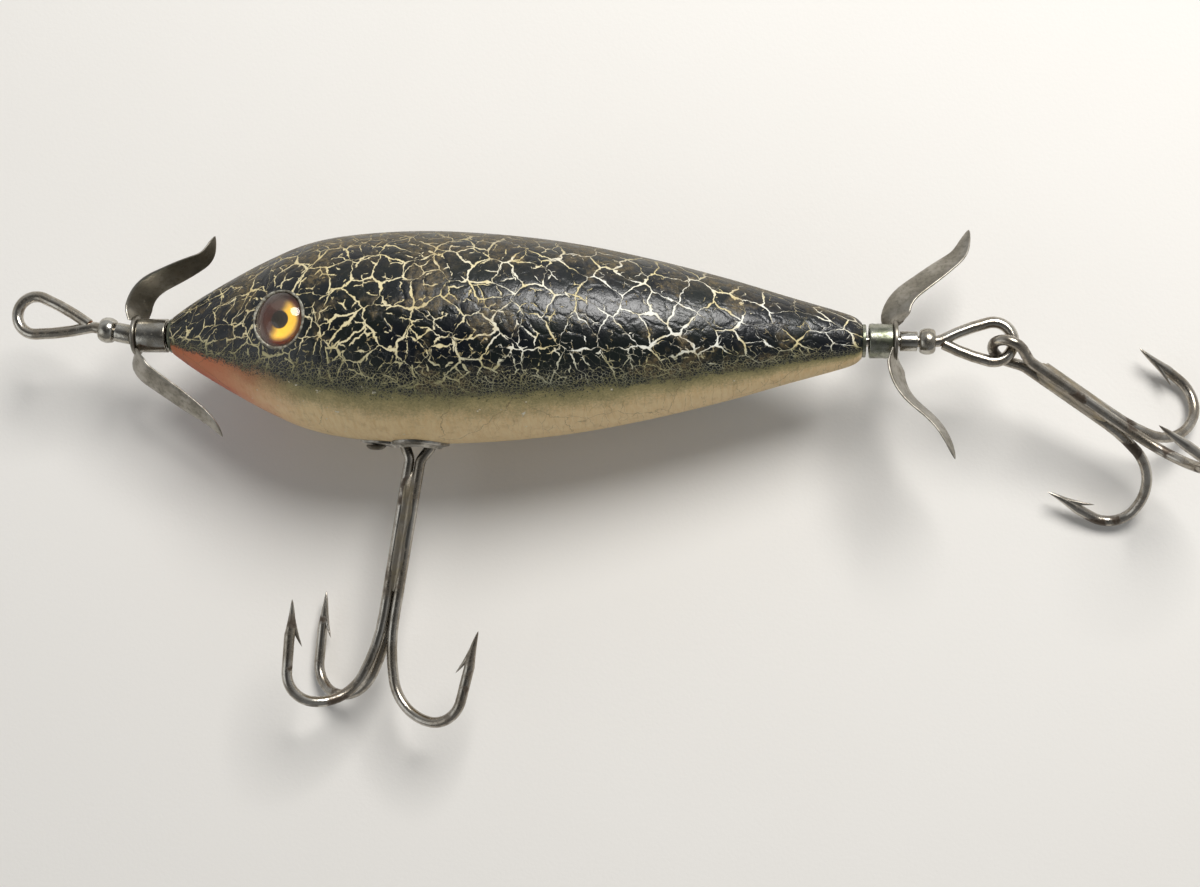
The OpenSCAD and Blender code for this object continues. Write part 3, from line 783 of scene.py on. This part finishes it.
def blade_section(t, hand, pitch):
    """Points of a thin, dished section with rounded edges: across the middle line, and along Z."""
    half = BLADE_W / 2 * (1 - 0.3 * t) * max(1.0002 - (max(t - 0.52, 0) / 0.48) ** 2, 0) ** 0.68
    half_thick = BLADE_THICK / 2 * (1 - 0.35 * t) * min(1, 0.25 + half)
    section = []
    for a in around(28):
        c, e = math.cos(a), math.sin(a)
        across = half * math.copysign(abs(c) ** 0.5, c)
        dish = BLADE_DISH * half / (BLADE_W / 2) * (1 - (across / max(half, 0.01)) ** 2)
        high = half_thick * math.copysign(abs(e) ** 0.6, e) - dish
        section.append((across * sin(pitch) * hand + high * cos(pitch),
                        across * cos(pitch) - high * sin(pitch) * hand))
    return section


def blade(sweep, reach, hand, full_pitch, steps=88):
    """A blade towards +Y that twists out of its hub's disc and runs to a pointed tip."""
    headings = [blade_heading((i + 0.5) / steps, sweep) for i in range(steps)]
    step = (reach - BLADE_ROOT) / sum(sin(h) for h in headings)
    line = [(0, BLADE_ROOT)]
    for h in headings:
        line.append((line[-1][0] + step * cos(h), line[-1][1] + step * sin(h)))
    rings = []
    for i, (x, r) in enumerate(line):
        t = i / steps
        h = blade_heading(t, sweep)
        pitch = full_pitch * (0.3 + 0.7 * ease((t + 0.04) / 0.16))
        rings.append([(x + flat * sin(h), r - flat * cos(h), side)
                      for flat, side in blade_section(t, hand, pitch)])
    return skin(rings)


def propeller(label, place, disc_at, sweeps, reach, hand, pitches):
    """Two blades and the disc they are stamped with."""
    shapes = [tube(0, DISC_THICK, BORE_R, DISC_R, 0.16)]
    for i, (sweep, pitch) in enumerate(zip(sweeps, pitches)):
        half_turn = Matrix.Translation((DISC_THICK / 2, 0, 0)) @ turn(180 * i, "X")
        shapes.append(moved_shape(blade(sweep, reach, hand, pitch), half_turn))
    add_mesh(f"{label}_prop_blades", joined_shapes(shapes), place @ at(disc_at, 0, 0), PLATE,
             f"{label}_propeller", f"{label}_blades", 50)


def hub(label, place, length, material):
    """A tube with a closed outer end and a rolled rim, standing along +X from its closed end."""
    inner = HUB_R - HUB_WALL
    profile = [(0.02, BORE_R), (HUB_WALL, BORE_R), (HUB_WALL, inner),
               (length, inner), (length, HUB_R), (0.02, HUB_R)]
    add_mesh(f"{label}_prop_hub", looped_skin(turned(rounded(profile, 0.22), 80)), place, material,
             f"{label}_propeller", f"{label}_hub")


def bead():
    """A ball cut flat at both ends and bored."""
    middle = BEAD_LENGTH / 2
    ball = [(middle + BEAD_R * sin(a), BEAD_R * cos(a)) for a in range(-34, 35, 4)]
    profile = [(0, BORE_R), (0, BEAD_END_R)] + [(x, r) for x, r in ball if 0.05 < x < BEAD_LENGTH - 0.05]
    return looped_skin(turned(profile + [(BEAD_LENGTH, BEAD_END_R), (BEAD_LENGTH, BORE_R)], 64))


nose, tail = on_axis(), on_axis(BODY_LENGTH)
propeller("front", nose @ turn(4, "X"), -4.9, FRONT_SWEEPS, 13.4, -1, (33, 39))
propeller("rear", tail @ turn(-16, "X"), 3.55, REAR_SWEEPS, 16.3, 1, (55, 32))
hub("front", nose @ at(-4.35, 0, 0), 4.0, SLEEVE)
hub("rear", tail @ at(3.5, 0, 0) @ turn(180, "Z"), 3.1, GREEN)

tie = on_axis(TIE_BEND_AT) @ turn(180 - TIE_BEND, "Z")
for label, wire, collar_at in (("front", tie, 0.2), ("rear", tail, 4.4)):
    collar = tube(0, COLLAR_LENGTH, BORE_R, COLLAR_R, 0.14, 64)
    add_mesh(f"{label}_sleeve", collar, wire @ at(collar_at, 0, 0), SLEEVE,
             f"{label}_collar", f"{label}_collar")
    add_mesh(f"{label}_ball", bead(), wire @ at(collar_at + COLLAR_LENGTH + BEAD_GAP, 0, 0), SLEEVE,
             f"{label}_bead", f"{label}_bead")


# ---------- belly hanger ----------
def flange_reach(a):
    """Radius of the flange's edge: round, with a pointed tongue towards the nose."""
    off = abs(math.degrees(a) % 360 - 180)
    return 4.15 + 3.6 * max(0, 1 - off / 30) ** 0.8 - 0.45 * math.exp(-((off - 34) / 9) ** 2)


def flange():
    """Thin plate wrapped on the belly, with a rolled rim round the cup."""
    rows = []
    rim = ((0, 0.0), (0, 0.5), (0.1, 0.72), (0.25, 0.55))
    plate = ((0.45, 0.42), (0.8, 0.4), (1, 0.32), (1, 0.02))
    for share, lift in rim + plate:
        row = []
        for a in around(120):
            r = CUP_R + (flange_reach(a) - CUP_R) * share
            x, z = r * math.cos(a), r * math.sin(a)
            belly = math.sqrt(max(radius_at(CURVE, HANGER_STATION + x) ** 2 - z * z, 1))
            row.append((x, -(belly + lift), z))
        rows.append(row)
    return looped_skin(rows)


def hanger():
    """Stamped plate with its cup and the cross pin that carries the treble."""
    outer = CUP_R + CUP_WALL
    wall = rounded([(CUP_FLOOR, TINY), (CUP_FLOOR, outer), (CUP_LIP, outer), (CUP_LIP, CUP_R),
                    (CUP_FLOOR + 0.3, CUP_R), (CUP_FLOOR + 0.3, TINY)], 0.1)
    cup = moved_shape(looped_skin(turned(wall, 96)), turn(-90, "Z"))
    pin = skin(turned([(-3.15, TINY), (-3.15, 0.62), (3.15, 0.62), (3.15, TINY)], 32))
    pin = moved_shape(pin, Matrix.Translation((0, PIN_HEIGHT, 0)) @ turn(-90, "Y"))
    add_mesh("belly_cup", joined_shapes([flange(), cup, pin]), on_body(HANGER_STATION), HANGER,
             "lure", "belly_hanger")


def hanger_screw():
    """Small round-headed screw through the flange's tongue."""
    shank = [(-7.0, TINY), (-7.0, 0.5), (-0.1, 0.5)]
    head = [(-0.1, 1.3), (0.1, 1.32), (0.35, 1.15), (0.55, 0.8), (0.62, 0.35), (0.62, TINY)]
    place = on_body(HANGER_STATION + SCREW_AT) @ at(0, -14.3, 0) @ turn(-90, "Z")
    add_mesh("belly_screw", skin(turned(shank + head, 48)), place, SCREW,
             "lure", "hanger_screw")


hanger()
hanger_screw()


# ---------- treble hooks: bends are the first bend's radius and angle, the radii of the second
# and third, and the length of the leg that ends in the point ----------
def fork_run(eye_r):
    """Length of wire from the eye to the fork, where it turns along the shank."""
    return (eye_r * cos(FORK_TURN) - FORK_GAP - FORK_R * (1 - cos(FORK_TURN))) / sin(FORK_TURN)


def fork_length(eye_r):
    """Distance from the middle of the eye to the end of the fork."""
    return (FORK_R + eye_r) * sin(FORK_TURN) + fork_run(eye_r) * cos(FORK_TURN)


def hook_steps(length, bends, roll=0):
    first_r, first_turn, second_r, third_r, leg = bends
    shank = length - first_r * sin(first_turn) - second_r * (1 - sin(first_turn))
    return [(shank, 0, roll), (first_r, first_turn), (second_r, 90 - first_turn),
            (third_r, 85), (leg - POINT, 0)]


def half_eye(eye_r, length, bends, roll):
    """Wire from the top of the eye round one side of it, along the shank and round the hook."""
    top = start((-eye_r, 0, 0), (0, 1, 0), (-1, 0, 0), HOOK_D)
    fork = [(eye_r, -90 - FORK_TURN), (fork_run(eye_r), 0), (FORK_R, FORK_TURN)]
    return wire_path(top, fork + hook_steps(length, bends, roll))


def pointed(stations):
    """The stations with a tapering point after the last one."""
    point, heading, left, radius = stations[-1]
    out = list(stations)
    for k in range(1, 17):
        t = k / 16
        bowed = point + heading * POINT * t + left * 0.12 * math.sin(math.pi * t)
        out.append((bowed, heading, left, radius * (1 - t) ** 0.72 + 0.02))
    return out


def barb(station):
    """A sliver raised from the point's inner side, where the point starts at a station."""
    point, heading, left, _ = station
    up = heading.cross(left)
    root, tip = Vector((2.3, 0.12)), Vector((-1.4, 1.72))
    way = (tip - root).normalized()
    side = Vector((-way.y, way.x))
    rings = []
    for k in range(11):
        t = k / 10
        middle = root.lerp(tip, t) + side * 0.10 * math.sin(math.pi * t)
        tall, thick = 0.46 * (1 - t) ** 0.75 + 0.012, 0.40 * (1 - t) ** 0.8 + 0.012
        row = []
        for a in around(12):
            q = middle + side * tall * math.cos(a)
            row.append(point + heading * q.x + left * q.y + up * thick * math.sin(a))
        rings.append(row)
    return skin(rings)


def mirrored(p):
    return Vector((p[0], -p[1], p[2]))


def twin_hook(eye_r, length, bends, roll, other_roll):
    """Two hooks and the eye between them, bent from one wire; the other half is made mirrored."""
    one = half_eye(eye_r, length, bends, roll)
    other = half_eye(eye_r, length, bends, other_roll)
    rings = [[mirrored(p) for p in wire_ring(station, 20)] for station in reversed(pointed(other)[1:])]
    rings += [wire_ring(station, 20) for station in pointed(one)]
    verts, faces = barb(other[-1])
    other_barb = ([mirrored(v) for v in verts], [tuple(reversed(face)) for face in faces])
    return joined_shapes([skin(rings), barb(one[-1]), other_barb])


def third_hook(length, bends):
    path = wire_path(start((0, 0, 0), (1, 0, 0), (0, 1, 0), HOOK_D), hook_steps(length - SINGLE_START, bends))
    return joined_shapes([skin([wire_ring(station, 20) for station in pointed(path)]), barb(path[-1])])


def solder_seam(first, last):
    """Solder along the three wires, lumpy and running out thin at its ends."""
    wires = [Vector((FORK_GAP, 0)), Vector((-FORK_GAP, 0)), Vector((0, SINGLE_OFFSET))]
    middle = sum(wires, Vector((0, 0))) / 3
    rings = []
    for i in range(41):
        t = i / 40
        fill = min(1, t / 0.12, (1 - t) / 0.2) ** 0.5
        row = []
        for a in around(36):
            out = Vector((math.cos(a), math.sin(a)))
            far = max((wire - middle).dot(out) + HOOK_D / 2 for wire in wires)
            lump = 0.035 * math.sin(5 * t * math.pi + 2 * a) + 0.03 * math.sin(17 * t + 3 * a)
            y, z = middle + out * (far * (0.60 + 0.31 * fill) + lump)
            row.append((first + (last - first) * t, y, z))
        rings.append(row)
    return skin(rings)


def treble(label, place, eye_r, length, bends, azimuths, twist):
    """Three hooks soldered together at their azimuths; the eye is turned by the twist."""
    turned_place = place @ turn(twist, "X")
    twins = twin_hook(eye_r, length, bends, azimuths[0] - twist, 180 - azimuths[1] + twist)
    add_mesh(f"{label}_twin_hook", twins, turned_place, HOOK, label, f"{label}_pair", 60)
    fork = fork_length(eye_r)
    single = turned_place @ at(fork + SINGLE_START, 0, SINGLE_OFFSET) @ turn(azimuths[2] - twist, "X")
    add_mesh(f"{label}_third_hook", third_hook(length, bends), single, HOOK,
             label, f"{label}_single", 60)
    seam = solder_seam(fork + SINGLE_START * 0.6, fork + length * 0.52)
    add_mesh(f"{label}_solder_seam", seam, turned_place, SOLDER, label, f"{label}_solder", 60)


belly_pin = on_body(HANGER_STATION) @ at(0, PIN_HEIGHT, 0) @ turn(-99, "Z")
treble("belly_treble", belly_pin, 1.9, 33, (24, 20, 6.5, 4.1, 9.4), (18, 155, 212), 0)
tail_arc = at(TAIL_X + TAIL_REACH, AXIS_Y, 0) @ turn(-32, "Z") @ at(LOOP_R, 0, 0)
tail_link = tail_arc @ turn(15.5, "Y") @ at(-0.3, 0, 0)
treble("tail_treble", tail_link, 2.1, 24.2, (24, 14, 7.3, 4, 6.9), (90, 210, -30), 62)


# ---------- floor, light and camera, in metres ----------
FLOOR_Z, FLOOR_HALF, MIDDLE_X = -0.01405, 1.2, 0.08
CAMERA_AT, CAMERA_TURN = (0.097148, -0.041101, 0.239974), (5.956, 4.778, 1.201)


def floor():
    x0, x1 = MIDDLE_X - FLOOR_HALF, MIDDLE_X + FLOOR_HALF
    corners = [(x0, -FLOOR_HALF), (x1, -FLOOR_HALF), (x1, FLOOR_HALF), (x0, FLOOR_HALF)]
    mesh = bpy.data.meshes.new("floor")
    mesh.from_pydata([(x, y, FLOOR_Z) for x, y in corners], [], [(0, 1, 2, 3)])
    mesh.materials.append(pale_floor())
    plane = bpy.data.objects.new("floor", mesh)
    bpy.context.scene.collection.objects.link(plane)


def lamp(name, direction, distance, size, power, colour):
    """A round soft light that faces the middle of the lure."""
    light = bpy.data.lights.new(name, "AREA")
    light.shape = "DISK"
    light.size = size
    light.energy = power
    light.color = colour
    holder = bpy.data.objects.new(name, light)
    bpy.context.scene.collection.objects.link(holder)
    way = Vector(direction).normalized()
    holder.location = Vector((0.075, -0.01, 0)) + way * distance
    holder.rotation_euler = way.to_track_quat("Z", "Y").to_euler()


def studio():
    """Even light all round, darker overhead and towards -Y."""
    world = bpy.data.worlds.new("studio")
    world.use_nodes = True
    tree = world.node_tree
    background = tree.nodes["Background"]
    background.inputs["Color"].default_value = (0.96, 0.98, 1.0, 1)
    coords = tree.nodes.new("ShaderNodeTexCoord")
    way = tree.nodes.new("ShaderNodeSeparateXYZ")
    product = tree.nodes.new("ShaderNodeMath")
    product.operation = "MULTIPLY"
    tree.links.new(coords.outputs["Generated"], way.inputs[0])
    ramps = ((2, (0.55, 0.92, 0.5, 0.08)), (1, (-0.8, 0.4, 0.5, 1.1)))
    for i, (axis, limits) in enumerate(ramps):
        ramp = tree.nodes.new("ShaderNodeMapRange")
        for key, value in zip(("From Min", "From Max", "To Min", "To Max"), limits):
            ramp.inputs[key].default_value = value
        tree.links.new(way.outputs[axis], ramp.inputs["Value"])
        tree.links.new(ramp.outputs[0], product.inputs[i])
    tree.links.new(product.outputs[0], background.inputs["Strength"])
    bpy.context.scene.world = world


def camera():
    lens = bpy.data.cameras.new("camera")
    lens.lens, lens.sensor_width, lens.clip_start = 55.76, 36, 0.01
    eye = bpy.data.objects.new("camera", lens)
    bpy.context.scene.collection.objects.link(eye)
    facing = Euler([math.radians(a) for a in CAMERA_TURN]).to_matrix().to_4x4()
    eye.matrix_world = Matrix.Translation(CAMERA_AT) @ facing
    bpy.context.scene.camera = eye


floor()
lamp("key", (0.30, 0.56, 0.82), 0.5, 0.26, 2.55, (1.0, 0.985, 0.96))
lamp("fill", (-0.75, -0.35, 0.5), 0.6, 0.5, 0.42, (0.95, 0.98, 1.0))
studio()
camera()
bpy.context.scene.view_settings.view_transform = "Standard"
